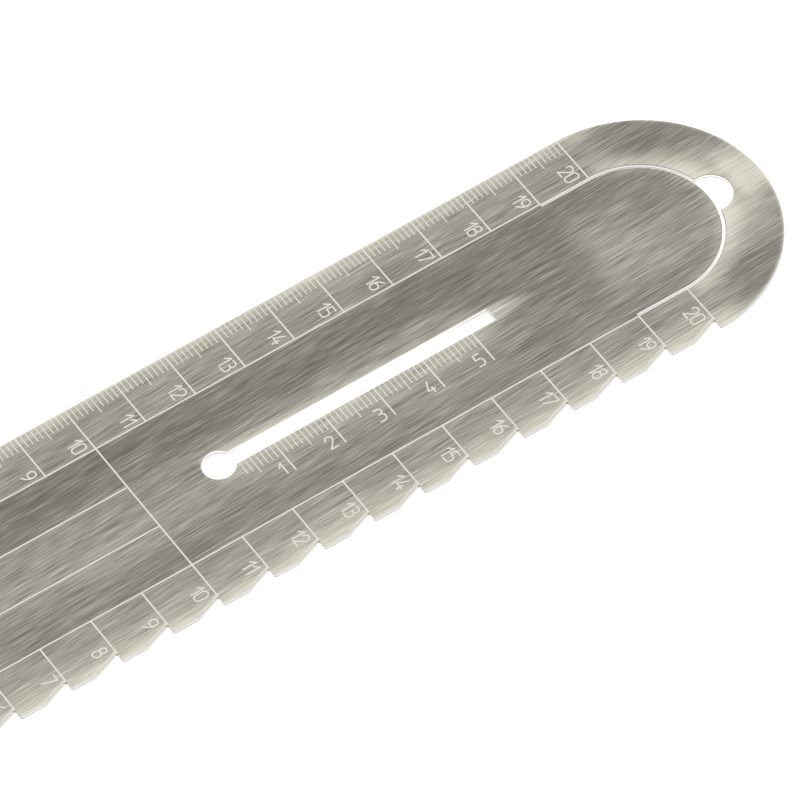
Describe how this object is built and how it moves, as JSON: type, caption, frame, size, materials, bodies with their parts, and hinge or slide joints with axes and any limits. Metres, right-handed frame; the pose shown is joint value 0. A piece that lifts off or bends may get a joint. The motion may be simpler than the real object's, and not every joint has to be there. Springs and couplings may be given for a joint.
{
  "type": "sewing gauge",
  "caption": "Flat steel sewing gauge with engraved centimetre scales, a stepped marking edge, a keyhole slot and a spring clip tongue inside its rounded end.",
  "frame": {"origin": "middle of the sheet's back face, under the centre of its overall length and width", "axes": "+X along the gauge from its zero end to its round end, +Y across it towards the millimetre scale, +Z out of the engraved face"},
  "size_m": [0.225, 0.05, 0.0008],
  "materials": {
    "brushed_stainless": "brushed along the length, with engraved marks"
  },
  "bodies": {
    "ruler": {"ruler_body": "brushed_stainless"},
    "tongue": {"clip_tongue": "brushed_stainless"},
    "ring": {"clip_ring": "brushed_stainless"}
  },
  "joints": [
    {"name": "tongue_flex", "type": "hinge", "parent": "ruler", "child": "tongue", "pos_m": [0.0775, 0, 0.0008], "axis": [0, -1, 0], "range_deg": [0, 3], "stiffness_Nm_per_rad": 29},
    {"name": "ring_flex", "type": "hinge", "parent": "ruler", "child": "ring", "pos_m": [0.0775, 0, 0], "axis": [0, 1, 0], "range_deg": [0, 3], "stiffness_Nm_per_rad": 20}
  ]
}
